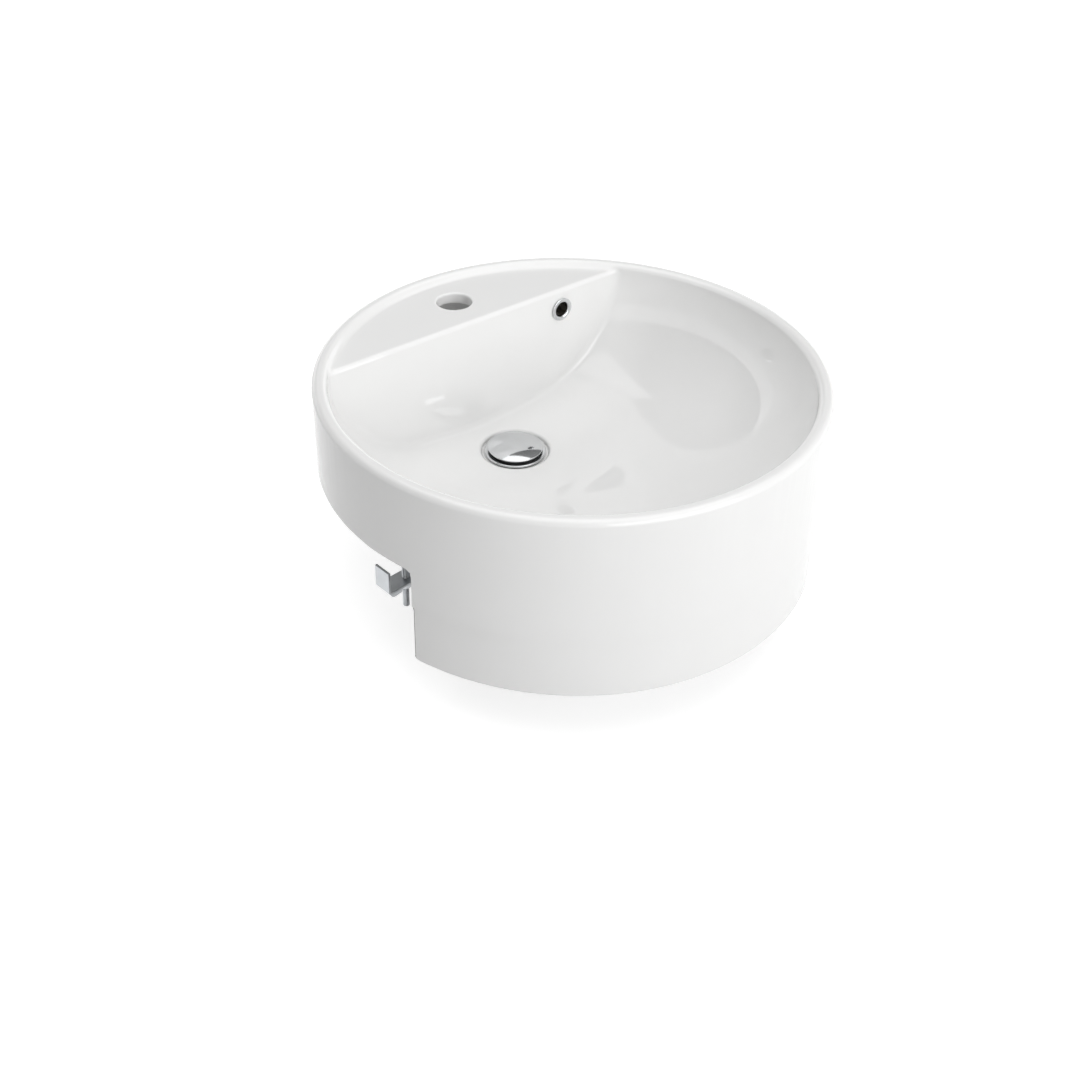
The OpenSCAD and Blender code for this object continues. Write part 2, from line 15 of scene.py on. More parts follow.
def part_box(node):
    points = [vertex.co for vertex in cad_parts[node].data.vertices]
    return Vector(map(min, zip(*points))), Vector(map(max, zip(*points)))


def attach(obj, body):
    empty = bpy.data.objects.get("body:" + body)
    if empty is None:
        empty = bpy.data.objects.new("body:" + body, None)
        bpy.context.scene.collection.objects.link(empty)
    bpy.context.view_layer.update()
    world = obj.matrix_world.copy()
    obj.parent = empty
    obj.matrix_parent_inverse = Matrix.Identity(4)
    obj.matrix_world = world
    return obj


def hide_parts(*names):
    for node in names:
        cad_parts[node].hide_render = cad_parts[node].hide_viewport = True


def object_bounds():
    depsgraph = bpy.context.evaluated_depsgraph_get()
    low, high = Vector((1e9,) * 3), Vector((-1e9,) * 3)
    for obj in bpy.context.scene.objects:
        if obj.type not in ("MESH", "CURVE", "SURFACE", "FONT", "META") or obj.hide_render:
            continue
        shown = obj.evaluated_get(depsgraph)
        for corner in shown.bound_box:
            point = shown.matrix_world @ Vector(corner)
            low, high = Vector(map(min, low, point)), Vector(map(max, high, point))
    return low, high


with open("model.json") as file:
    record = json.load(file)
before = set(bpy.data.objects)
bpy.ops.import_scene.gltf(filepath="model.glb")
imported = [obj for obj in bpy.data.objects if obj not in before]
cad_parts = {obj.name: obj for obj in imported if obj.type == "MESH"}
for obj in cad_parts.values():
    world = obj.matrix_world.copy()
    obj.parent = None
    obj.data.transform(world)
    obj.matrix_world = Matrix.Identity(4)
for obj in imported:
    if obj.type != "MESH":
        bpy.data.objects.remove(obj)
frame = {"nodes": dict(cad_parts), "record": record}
cad_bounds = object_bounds()
nodes = frame["nodes"]

# ---------------------------------------------------------------- sizes of the ceramic body
BASIN_LOW, BASIN_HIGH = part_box("basin_body")
RIM_R = BASIN_HIGH.x
RIM_Z = BASIN_HIGH.z
FOOT_Z = BASIN_LOW.z
WALL = 0.0135             # thickness of the rim's wall
BOWL_R = RIM_R - WALL
LIP = 0.0055              # rounding of the rim's two edges
DECK_Z = RIM_Z - 0.006
DECK_T = 0.012
DECK_EDGE = 0.0045        # rounding of the deck's front edge
LEDGE_Y = 0.131
LEDGE_T = 0.011
LEDGE_BACK = LEDGE_Y + LEDGE_T
CURVE_Z = DECK_Z - 0.001  # where the upright wall turns into the bowl's curve
FLOOR_Z = RIM_Z - 0.119
SHELL = 0.011
UNDER_Z = FLOOR_Z - 0.018
SEAT_IN = RIM_R - 0.022
SEAT_T = 0.014
NOTCH_Y = -0.064
NOTCH_WALL = 0.012
SKIRT_T = 0.012
FOOT_EDGE = 0.003
TAP_Y = 0.176
TAP_R = 0.0175
TAP_LOW = 0.03            # the tap hole is cut from this height up

WASTE_Y = 0.078
DISH_R = 0.088            # the floor's circle around the waste
DISH_FALL = 0.009
WALL_RUN = BOWL_R - DISH_R
WALL_START = 1.9          # how late the wall starts to rise from the floor: more is later
WALL_END = 0.56           # how late it turns upright below the rim: less is later
STEEP_START = 0.65        # share of the wall's run where it starts to count as upright
STEEP_RUN = 0.20
PAD_R = DISH_R - 0.008
DISH_Z = FLOOR_Z - DISH_FALL
RECESS_R = 0.033
RECESS_Z = DISH_Z - 0.004
WASTE_HOLE_R = 0.023
BOSS_R = 0.039
BOSS_Z = RECESS_Z - 0.042

OVERFLOW_X = 0.100
OVERFLOW_Z = RIM_Z - 0.028
OVERFLOW_HOLE_R = 0.009
DUCT_W = 0.018
DUCT_H = 0.020
DUCT_T = 0.006
DUCT_TOP = UNDER_Z - 0.002
DUCT_Y = LEDGE_BACK + DUCT_W / 2
DUCT_ANGLE = math.atan2(DUCT_Y - WASTE_Y, OVERFLOW_X)

CLAMP_R = 0.196
CLAMP_ANGLES = (-5, 35, 145, 185)
CLAMP_SPOTS = [(CLAMP_R * math.cos(math.radians(a)), CLAMP_R * math.sin(math.radians(a)))
               for a in CLAMP_ANGLES]
CLAMP_BOSS_R = 0.0115
RIB_T = 0.016             # ribs that tie the clamp bosses to the seat ring
RIB_DROP = 0.004
ANCHOR_R = 0.005
CLAMP_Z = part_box("clamp_anchors")[0].z + 0.0015  # lower end of the bosses above the clamps
ANCHOR_LEN = 0.017
ANCHOR_TOP = CLAMP_Z + ANCHOR_LEN
STUD_TOP = ANCHOR_TOP - 0.003
STUD_LEN = 0.066
STUD_R = 0.003
STUD_PITCH = 0.001
CLAW_NAMES = ("claw_right_front", "claw_right_rear", "claw_left_rear", "claw_left_front")
CLAW_T = 0.0025
CLAW_W = 0.018
CLAW_HEEL = 0.0115        # from the stud to the claw's heel
CLAW_REACH = 0.025        # from the stud to the claw's toe
PLATE_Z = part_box("claw_right_front")[0].z
TOE_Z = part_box("claw_right_front")[1].z
HEEL_Z = CLAMP_Z - 0.0003
WING_Z = PLATE_Z - 0.0073
WING_HUB_H = 0.006

# Waste, plug and click mechanism, by height
TAIL_R = 0.020955
BORE_R = TAIL_R - 0.002
TAIL_PITCH = 0.00231      # eleven turns to the inch
TAIL_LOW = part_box("waste_body")[0].z
FLANGE_R = 0.030
FLANGE_LOW = RECESS_Z + 0.0015
FLANGE_TOP = FLANGE_LOW + 0.002
SLIP_Z = BOSS_Z - 0.006
SLIP_T = 0.0015
SLIP_R = 0.028
NUT_H = 0.010
WINDOW_LOW = DUCT_TOP - 0.018
WINDOW_TOP = WINDOW_LOW + 0.016
SEAL_Z = FLANGE_TOP + 0.0003
CAP_Z = SEAL_Z + 0.0007
CAP_TOP = CAP_Z + 0.004
CAP_RISE = 0.0026
CAP_R = 0.027
CAP_EDGE = CAP_TOP - 0.0014  # the dome starts below the top of the cap's wall
CAP_LIP = 0.0010          # height of the bright edge over the dark seal
CAP_HOLLOW = CAP_Z + 0.002
SEAL_IN = BORE_R + 0.0015
ROD_R = 0.004
BARREL_R = 0.009
BARREL_IN = 0.0065
COLLAR_H = 0.0025         # how far the collar stands above the barrel
COLLAR_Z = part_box("click_collar")[1].z - COLLAR_H
ROTOR_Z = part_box("click_rotor")[0].z
CROWN_Z = ROTOR_Z + 0.0063
CROSS_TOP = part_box("click_barrel")[0].z
CROSS_H = 0.006
BARREL_FLOOR = CROSS_TOP + 0.004

# Roundings that the glaze leaves
CORNER_LOW = 0.0065       # between the ledge's face and the bowl's floor
CORNER_DECK = 0.0050      # between the deck and the rim
RECESS_EDGE = 0.0030
TAP_EDGE = 0.0018
DISH_EDGE = 0.0020        # how softly the dished floor starts
CASTING = 0.0060          # inside corners of the underside
CHANNEL_EDGE = 0.0005
ANCHOR_EDGE = 0.0003
CHANNEL_SHADE_SKIN = 0.0012     # how far out of the overflow's channel its painted shade fades away
STOOD_SKIN = 0.0010

# Room between fitted parts
PLAY = 0.00005            # around a stud or a rod
THREAD_PLAY = 0.00001     # between two parts that are screwed together
TAIL_PLAY = 0.00015       # around the waste and around the overflow's sleeve
CUTTER = 0.001            # how far a drill reaches past what it cuts


# ---------------------------------------------------------------- the ceramic body as a form
# A form gives, for each point, the distance to a surface: negative inside the material.
def join(a, b, r):
    """Two forms together, with a fillet of radius r where they meet."""
    return np.maximum(r, np.minimum(a, b)) - np.hypot(np.maximum(r - a, 0), np.maximum(r - b, 0))


def meet(a, b, r):
    """What two forms share, with its edges rounded to radius r."""
    return -join(-a, -b, r)


def slab(value, low, high):
    return np.maximum(low - value, value - high)


def bowl_share(x, y):
    """Where a point lies on the bowl's wall, seen from above: 0 at the floor's circle, 1 at the rim."""
    apex_y = WASTE_Y * BOWL_R / WALL_RUN
    spare, back = BOWL_R ** 2 - apex_y ** 2, (y - apex_y) * apex_y
    reach = back + np.sqrt(back ** 2 + spare * (x ** 2 + (y - apex_y) ** 2))
    return (reach * BOWL_R / spare - DISH_R) / WALL_RUN


def bowl_side(x, y, z):
    """The bowl's inner surface. Its level sections are circles, from the floor's circle around the
    waste to the rim's circle around the basin's axis."""
    rise = CURVE_Z - FLOOR_Z
    share = np.clip(bowl_share(x, y), 0, 0.9999)
    lean = WALL_RUN - (y - WASTE_Y * (1 - share)) / (DISH_R + WALL_RUN * share) * WASTE_Y
    left = 1 - share ** WALL_START
    slope = rise * WALL_END * WALL_START * share ** (WALL_START - 1) * left ** (WALL_END - 1) / lean
    floor = (FLOOR_Z + rise * (1 - left ** WALL_END) - z) / np.hypot(1, slope)
    level = np.clip((z - FLOOR_Z) / rise, 1e-4, 1)
    left = (1 - level) ** (1 / WALL_END)
    size = (1 - left) ** (1 / WALL_START)
    growth = size ** (1 - WALL_START) * (1 - level) ** (1 / WALL_END - 1) / (WALL_START * WALL_END * rise)
    back = y - WASTE_Y * (1 - size)
    radius = np.hypot(x, back)
    lean = WALL_RUN - back / np.maximum(radius, 1e-6) * WASTE_Y
    wall = (radius - DISH_R - WALL_RUN * size) / np.hypot(1, growth * lean)
    steep = np.clip((share - STEEP_START) / STEEP_RUN, 0, 1)
    steep = steep ** 2 * (3 - 2 * steep)
    return floor * (1 - steep) + wall * steep


def bowl_air(x, y, z):
    """What is open above the ceramic: bowl, dished floor and recess, without the ledge."""
    rw = np.hypot(x, y - WASTE_Y)
    fall = DISH_FALL * np.minimum((DISH_R - rw) / (DISH_R - RECESS_R), 1)
    air = bowl_side(x, y, z + (fall + np.hypot(fall, DISH_EDGE)) / 2)
    ledge = meet(LEDGE_Y - y, z - DECK_Z, DECK_EDGE)
    share = np.clip((z - FLOOR_Z) / (DECK_Z - FLOOR_Z), 0, 1) ** 2
    air = meet(air, -ledge, CORNER_LOW + (CORNER_DECK - CORNER_LOW) * share)
    recess = np.maximum(rw - RECESS_R, slab(z, RECESS_Z, FLOOR_Z))
    return join(air, recess, RECESS_EDGE)


def duct(x, y, z, grow):
    """The overflow's channel: down behind the ledge, then level to the waste."""
    half = DUCT_W / 2 + grow
    low, high = DUCT_TOP - DUCT_H - grow, DUCT_TOP + grow
    deep = slab(y, LEDGE_BACK - DUCT_T, LEDGE_BACK + DUCT_W + grow)
    upright = np.maximum(np.abs(x - OVERFLOW_X) - half, deep)
    upright = np.maximum(upright, slab(z, low, DECK_Z - DECK_T))
    along = x * math.cos(DUCT_ANGLE) + (y - WASTE_Y) * math.sin(DUCT_ANGLE)
    across = (y - WASTE_Y) * math.cos(DUCT_ANGLE) - x * math.sin(DUCT_ANGLE)
    long = slab(along, 0, math.hypot(OVERFLOW_X, DUCT_Y - WASTE_Y))
    level = np.maximum(np.abs(across) - half, long)
    return np.minimum(upright, np.maximum(level, slab(z, low, high)))


def basin_form(x, y, z):
    """The whole ceramic body: what is built up, then what is rounded off and cut out."""
    rho, rw = np.hypot(x, y), np.hypot(x, y - WASTE_Y)
    front, behind = y - LEDGE_BACK, LEDGE_Y - y
    shell = np.maximum(bowl_side(x, y, z) - SHELL, front)
    wall = np.maximum(BOWL_R - rho, -z)
    seat = np.maximum(SEAT_IN - rho, slab(z, 0, SEAT_T))
    deck = np.maximum(DECK_Z - DECK_T - z, behind)
    pad = np.maximum(np.maximum(rw - PAD_R, UNDER_Z - z), front)
    boss = np.maximum(rw - BOSS_R, BOSS_Z - z)
    skirt = np.maximum(np.maximum(RIM_R - SKIRT_T - rho, y - NOTCH_Y), FOOT_Z - z)
    back = np.maximum(slab(y, NOTCH_Y - NOTCH_WALL, NOTCH_Y), FOOT_Z - z)
    above = join(join(wall, seat, CASTING), deck, CASTING)
    hidden = join(join(shell, pad, CASTING), join(boss, duct(x, y, z, DUCT_T), CASTING), CASTING)
    apron = join(skirt, back, CASTING)
    body = join(join(above, hidden, CASTING), apron, CASTING)
    for cx, cy in CLAMP_SPOTS:
        boss = np.maximum(np.hypot(x - cx, y - cy) - CLAMP_BOSS_R, slab(z, CLAMP_Z, SEAT_T))
        across = np.abs(x * cy - y * cx) / CLAMP_R - RIB_T / 2
        outwards = CLAMP_R - (x * cx + y * cy) / CLAMP_R
        rib = np.maximum(np.maximum(across, outwards), slab(z, 0, SEAT_T - RIB_DROP))
        body = join(body, np.minimum(boss, rib), CASTING / 2)
    body = meet(body, rho - RIM_R, FOOT_EDGE)
    body = meet(body, z - RIM_Z, LIP)
    body = meet(body, -bowl_air(x, y, z), LIP)
    tap = np.maximum(np.hypot(x, y - TAP_Y) - TAP_R, TAP_LOW - z)
    body = meet(body, -tap, TAP_EDGE)
    hole = np.maximum(rw - WASTE_HOLE_R, z - FLOOR_Z)
    body = meet(body, -hole, TAP_EDGE)
    body = meet(body, -duct(x, y, z, 0), CHANNEL_EDGE)
    for cx, cy in CLAMP_SPOTS:
        hole = np.maximum(np.hypot(x - cx, y - cy) - ANCHOR_R, z - CLAMP_Z - ANCHOR_LEN)
        body = meet(body, -hole, ANCHOR_EDGE)
    hole = np.hypot(x - OVERFLOW_X, z - OVERFLOW_Z) - OVERFLOW_HOLE_R
    hole = np.maximum(hole, slab(y, 0, LEDGE_BACK + 0.002))
    return meet(body, -hole, TAP_EDGE)


# ---------------------------------------------------------------- meshes from forms
def slope_of(form, co, step=2e-5):
    """A form's value and its gradient at each point."""
    x, y, z = co.T
    value = form(x, y, z)
    grad = np.stack([form(x + step, y, z) - value, form(x, y + step, z) - value,
                     form(x, y, z + step) - value], 1) / step
    return value, grad


def settle(form, co, times):
    """Moves points onto a form's surface."""
    for _ in range(times):
        value, grad = slope_of(form, co)
        size = np.maximum((grad ** 2).sum(1), 0.1)
        move = np.clip(value / size, -0.0015, 0.0015)
        co = co - grad * move[:, None]
    return co


def points_of(mesh):
    co = np.zeros(len(mesh.vertices) * 3)
    mesh.vertices.foreach_get("co", co)
    return co.reshape(-1, 3)


def relax(mesh, co, share):
    """Moves each point a share of the way to the middle of its neighbours."""
    ends = np.zeros(len(mesh.edges) * 2, np.int64)
    mesh.edges.foreach_get("vertices", ends)
    a, b = ends.reshape(-1, 2).T
    count = np.bincount(np.concatenate([a, b]), minlength=len(co))
    middle = np.stack([np.bincount(a, co[b, i], len(co)) + np.bincount(b, co[a, i], len(co))
                       for i in range(3)], 1) / np.maximum(count, 1)[:, None]
    return co + (middle - co) * share


def with_modifier(mesh, kind, **values):
    """A copy of a mesh after one modifier."""
    holder = bpy.data.objects.new("holder", mesh)
    bpy.context.scene.collection.objects.link(holder)
    modifier = holder.modifiers.new(kind, kind)
    for key, value in values.items():
        setattr(modifier, key, value)
    bpy.context.view_layer.update()
    shown = holder.evaluated_get(bpy.context.evaluated_depsgraph_get())
    result = bpy.data.meshes.new_from_object(shown)
    bpy.data.objects.remove(holder)
    return result


def form_mesh(name, form, start, voxel, keep):
    """A smooth mesh of a form: an even net over the start mesh, settled on the form, then thinned
    where it is nearly flat, with the form's own normals."""
    net = with_modifier(start.copy(), "REMESH", mode="VOXEL", voxel_size=voxel)
    co = points_of(net)
    for _ in range(4):
        co = settle(form, relax(net, co, 0.5), 2)
    net.vertices.foreach_set("co", settle(form, co, 3).ravel())
    net.update()
    thin = with_modifier(net, "DECIMATE", decimate_type="COLLAPSE", ratio=keep)
    co = settle(form, points_of(thin), 3)
    thin.vertices.foreach_set("co", co.ravel())
    thin.validate()
    thin.update()
    co = points_of(thin)
    normals = slope_of(form, co)[1]
    normals /= np.maximum(np.linalg.norm(normals, axis=1), 1e-9)[:, None]
    thin.shade_smooth()
    thin.normals_split_custom_set_from_vertices([tuple(n) for n in normals])
    thin.name = name
    return thin


# ---------------------------------------------------------------- meshes from outlines
def rounded(corners, steps=5):
    """A closed outline from (across, up, rounding) corners, each turned into a small arc."""
    line = []
    for i, (x, z, r) in enumerate(corners):
        here = Vector((x, z))
        back = Vector(corners[i - 1][:2]) - here
        ahead = Vector(corners[(i + 1) % len(corners)][:2]) - here
        half = back.angle(ahead, math.pi) / 2
        if r <= 0 or half < 0.01 or half > 1.56:
            line.append((x, z))
            continue
        reach = min(r / math.tan(half), 0.49 * back.length, 0.49 * ahead.length)
        radius = reach * math.tan(half)
        middle = here + (back.normalized() + ahead.normalized()).normalized() * radius / math.sin(half)
        start = here + back.normalized() * reach - middle
        turn = start.angle_signed(here + ahead.normalized() * reach - middle)
        for k in range(steps + 1):
            line.append(tuple(middle + Matrix.Rotation(-turn * k / steps, 2) @ start))
    return line


def finish_mesh(name, bm, smooth=True):
    """Cleans a mesh and gives it normals that keep its flat faces flat."""
    bmesh.ops.remove_doubles(bm, verts=bm.verts, dist=1e-7)
    bmesh.ops.dissolve_degenerate(bm, dist=1e-7, edges=bm.edges)
    bmesh.ops.recalc_face_normals(bm, faces=bm.faces)
    mesh = bpy.data.meshes.new(name)
    bm.to_mesh(mesh)
    bm.free()
    if smooth:
        mesh.shade_smooth()
        mesh.set_sharp_from_angle(angle=math.radians(40))
        mesh = with_modifier(mesh, "WEIGHTED_NORMAL", keep_sharp=True, weight=80)
    mesh.name = name
    return mesh


def turned(name, outline, sides=96, shape=None):
    """A mesh turned around Z from a closed outline. shape(angle, r, z) gives a point's radius."""
    bm = bmesh.new()
    rings = []
    for r, z in outline:
        if r < 1e-6:
            rings.append([bm.verts.new((0, 0, z))] * sides)
            continue
        ring = []
        for i in range(sides):
            a = 2 * math.pi * i / sides
            radius = shape(a, r, z) if shape else r
            ring.append(bm.verts.new((radius * math.cos(a), radius * math.sin(a), z)))
        rings.append(ring)
    for k, ring in enumerate(rings):
        after = rings[(k + 1) % len(rings)]
        for i in range(sides):
            j = (i + 1) % sides
            face = list(dict.fromkeys((ring[i], ring[j], after[j], after[i])))
            if len(face) > 2:
                bm.faces.new(face)
    return finish_mesh(name, bm)


def rows(r, low, high, step):
    """Points up a straight wall, close enough for what a shape cuts into it."""
    count = max(int(abs(high - low) / step), 1)
    return [(r, low + (high - low) * k / count, 0) for k in range(count + 1)]


def threaded(outer, pitch, depth, low, high, otherwise=None):
    """A shape that cuts a thread into a wall of radius outer, running out at both ends."""
    def shape(a, r, z):
        if abs(r - outer) > 1e-6:
            return otherwise(a, r, z) if otherwise else r
        turn = (z / pitch - a / (2 * math.pi)) % 1
        wave = min(max(2.4 * abs(turn - 0.5) - 0.1, 0), 1)
        end = min((z - low) / pitch, (high - z) / pitch, 1)
        return r - depth * wave * max(end, 0)
    return shape


def hexagon(across_flats):
    """The radius of a hexagon at an angle."""
    return lambda a: across_flats / 2 / math.cos(a % (math.pi / 3) - math.pi / 6)


def extruded(name, outline, width):
    """A mesh of an outline in the XZ plane, as wide as given along Y."""
    bm = bmesh.new()
    ends = [[bm.verts.new((x, side * width / 2, z)) for x, z in outline] for side in (-1, 1)]
    bm.faces.new(ends[0])
    bm.faces.new(reversed(ends[1]))
    for i in range(len(outline)):
        j = (i + 1) % len(outline)
        bm.faces.new((ends[0][i], ends[0][j], ends[1][j], ends[1][i]))
    return finish_mesh(name, bm, False)


def drill(radius, low, high):
    """A straight cutter that reaches a little past both ends of its hole."""
    low, high = low - CUTTER, high + CUTTER
    return turned("drill", [(0, low), (radius, low), (radius, high), (0, high)], 48)


def combined(mesh, other, operation):
    """The exact union or difference of two meshes."""
    holder = bpy.data.objects.new("holder", other)
    bpy.context.scene.collection.objects.link(holder)
    result = with_modifier(mesh, "BOOLEAN", object=holder, operation=operation, solver="EXACT")
    bpy.data.objects.remove(holder)
    return result


def edged(mesh, width, sharp=35):
    """A mesh with its sharp edges taken off."""
    mesh = with_modifier(mesh, "BEVEL", width=width, segments=2, limit_method="ANGLE",
                         angle_limit=math.radians(sharp), use_clamp_overlap=True)
    bm = bmesh.new()
    bm.from_mesh(mesh)
    return finish_mesh(mesh.name, bm)


def moved(mesh, matrix):
    copy = mesh.copy()
    copy.transform(matrix)
    return copy


def gathered(name, meshes):
    """Several meshes as one."""
    bm = bmesh.new()
    for mesh in meshes:
        bm.from_mesh(mesh)
    return finish_mesh(name, bm)


# ---------------------------------------------------------------- materials
def ranged(tree, value, low, high, start, end, kind="LINEAR"):
    """A value that goes from start to end, which are numbers or sockets, while another goes from
    low to high."""
    node = tree.nodes.new("ShaderNodeMapRange")
    node.interpolation_type = kind
    tree.links.new(value, node.inputs["Value"])
    for label, amount in (("From Min", low), ("From Max", high), ("To Min", start), ("To Max", end)):
        if isinstance(amount, (int, float)):
            node.inputs[label].default_value = amount
        else:
            tree.links.new(amount, node.inputs[label])
    return node.outputs["Result"]


def noise(tree, scale, detail):
    """A noise texture over the object's own coordinates, with its scale from a socket."""
    spot = tree.nodes.new("ShaderNodeTexCoord")
    texture = tree.nodes.new("ShaderNodeTexNoise")
    texture.inputs["Detail"].default_value = detail
    tree.links.new(spot.outputs["Object"], texture.inputs["Vector"])
    tree.links.new(scale, texture.inputs["Scale"])
    return texture.outputs["Fac"]


def make_finish_group():
    """Uneven tone, roughness and height that every finish takes its own amounts of."""
    group = bpy.data.node_groups.new("finish", "ShaderNodeTree")
    for label, value in (("Patch scale", 12.0), ("Grain scale", 300.0), ("Darkest tone", 0.97),
                         ("Roughness low", 0.1), ("Roughness high", 0.2)):
        socket = group.interface.new_socket(label, in_out="INPUT", socket_type="NodeSocketFloat")
        socket.default_value = value
    for label in ("Tone", "Roughness", "Height"):
        group.interface.new_socket(label, in_out="OUTPUT", socket_type="NodeSocketFloat")
    enter = group.nodes.new("NodeGroupInput")
    leave = group.nodes.new("NodeGroupOutput")
    patch = noise(group, enter.outputs["Patch scale"], 4.0)
    grain = noise(group, enter.outputs["Grain scale"], 2.0)
    low, high = 0.3, 0.7  # the middle range of the noise, which its values seldom leave
    tone = ranged(group, patch, low, high, enter.outputs["Darkest tone"], 1.0)
    rough = ranged(group, patch, low, high, enter.outputs["Roughness low"], enter.outputs["Roughness high"])
    group.links.new(tone, leave.inputs["Tone"])
    group.links.new(rough, leave.inputs["Roughness"])
    group.links.new(grain, leave.inputs["Height"])
    return group


FINISH = make_finish_group()


def make_material(name, colour, metallic, patch, grain, tone, rough, dents, ior=None):
    """A material whose tone, roughness and surface vary by the shared finish group.

    patch and grain are how fine its patches and its dents are, tone how dark its darkest patches,
    rough its range of roughness, and dents the strength and depth of its bump."""
    material = bpy.data.materials.new(name)
    material.use_nodes = True
    tree = material.node_tree
    shader = tree.nodes["Principled BSDF"]
    shader.inputs["Metallic"].default_value = metallic
    if ior:
        shader.inputs["IOR"].default_value = ior
    finish = tree.nodes.new("ShaderNodeGroup")
    finish.node_tree = FINISH
    for label, value in (("Patch scale", patch), ("Grain scale", grain), ("Darkest tone", tone),
                         ("Roughness low", rough[0]), ("Roughness high", rough[1])):
        finish.inputs[label].default_value = value
    mix = tree.nodes.new("ShaderNodeMix")
    mix.data_type = "RGBA"
    dark = tuple(c * tone for c in colour)
    mix.inputs["A"].default_value = (*dark, 1)
    mix.inputs["B"].default_value = (*colour, 1)
    tree.links.new(ranged(tree, finish.outputs["Tone"], tone, 1.0, 0, 1), mix.inputs["Factor"])
    tree.links.new(mix.outputs["Result"], shader.inputs["Base Color"])
    tree.links.new(finish.outputs["Roughness"], shader.inputs["Roughness"])
    bump = tree.nodes.new("ShaderNodeBump")
    bump.inputs["Strength"].default_value = dents[0]
    bump.inputs["Distance"].default_value = dents[1]
    tree.links.new(finish.outputs["Height"], bump.inputs["Height"])
    tree.links.new(bump.outputs["Normal"], shader.inputs["Normal"])
    return material


def clay_and_painted_shade(material, colour, roughness):
    """Shows dark matt clay where a mesh is marked: painted shade in the overflow's channel, and unglazed
    clay on the faces it stood on in the kiln.
    """
    tree = material.node_tree
    shader = tree.nodes["Principled BSDF"]
    mark = tree.nodes.new("ShaderNodeAttribute")
    mark.attribute_name = "clay_and_shade"
    for label, kind, value in (("Base Color", "RGBA", (*colour, 1)), ("Roughness", "FLOAT", roughness)):
        glazed = shader.inputs[label].links[0].from_socket
        mix = tree.nodes.new("ShaderNodeMix")
        mix.data_type = kind
        share, first, second = [socket for socket in mix.inputs if socket.enabled]
        second.default_value = value
        tree.links.new(mark.outputs["Fac"], share)
        tree.links.new(glazed, first)
        tree.links.new([socket for socket in mix.outputs if socket.enabled][0], shader.inputs[label])


LOOKS = {
    "glazed_ceramic": dict(colour=(0.84, 0.84, 0.835), metallic=0, patch=9, grain=60, tone=0.985,
                           rough=(0.012, 0.03), dents=(0.05, 0.0002), ior=1.52),
    "bright_chrome": dict(colour=(0.72, 0.73, 0.74), metallic=1, patch=60, grain=500, tone=0.94,
                          rough=(0.05, 0.12), dents=(0.1, 0.00005)),
    "black_rubber": dict(colour=(0.02, 0.02, 0.021), metallic=0, patch=80, grain=1500, tone=0.75,
                         rough=(0.5, 0.7), dents=(0.3, 0.0001)),
    "white_plastic": dict(colour=(0.74, 0.74, 0.72), metallic=0, patch=60, grain=900, tone=0.95,
                          rough=(0.3, 0.42), dents=(0.2, 0.00005)),
    "amber_plastic": dict(colour=(0.55, 0.22, 0.03), metallic=0, patch=60, grain=900, tone=0.9,
                          rough=(0.3, 0.4), dents=(0.2, 0.00005)),
    "raw_brass": dict(colour=(0.66, 0.46, 0.17), metallic=1, patch=70, grain=900, tone=0.8,
                      rough=(0.22, 0.4), dents=(0.25, 0.00008)),
    "spring_steel": dict(colour=(0.45, 0.45, 0.46), metallic=1, patch=90, grain=1500, tone=0.85,
                         rough=(0.2, 0.35), dents=(0.2, 0.00005)),
    "zinc_steel": dict(colour=(0.58, 0.60, 0.62), metallic=1, patch=70, grain=700, tone=0.8,
                       rough=(0.25, 0.42), dents=(0.3, 0.0001))}
MATERIALS = {name: make_material(name, **look) for name, look in LOOKS.items()}
# Dark matt clay: painted shade in the overflow's channel, unglazed clay on the kiln feet.
clay_and_painted_shade(MATERIALS["glazed_ceramic"], (0.30, 0.27, 0.23), 0.8)
for part in frame["record"]["subparts"]:
    cad = nodes[part["node"]]
    cad.data.materials.clear()
    cad.data.materials.append(MATERIALS[part["material_slot"]])


# ---------------------------------------------------------------- pieces
AT_WASTE = Matrix.Translation((0, WASTE_Y, 0))
AT_OVERFLOW = (Matrix.Translation((OVERFLOW_X, LEDGE_Y, OVERFLOW_Z)) @
               Matrix.Rotation(math.pi / 2, 4, "X"))
AT_CLAMPS = [Matrix.Rotation(math.radians(a), 4, "Z") @ Matrix.Translation((CLAMP_R, 0, 0))
             for a in CLAMP_ANGLES]


def place(name, mesh, body, slot, node):
    """Puts a mesh in the scene as a piece that rides on a body and stands for a CAD node."""
    piece = bpy.data.objects.new(name, mesh)
    bpy.context.scene.collection.objects.link(piece)
    mesh.materials.clear()
    mesh.materials.append(MATERIALS[slot])
    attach(piece, body)
    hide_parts(node)


def place_turned(name, at, outline, body, slot, node, sides=96, shape=None):
    """Places a piece that is turned around its own axis."""
    place(name, moved(turned(name, outline, sides, shape), at), body, slot, node)


def place_on_clamps(name, mesh, slot, node):
    """Places a copy of a mesh at each of the four clamps, as one piece."""
    place(name, gathered(name, [moved(mesh, at) for at in AT_CLAMPS]), "basin", slot, node)


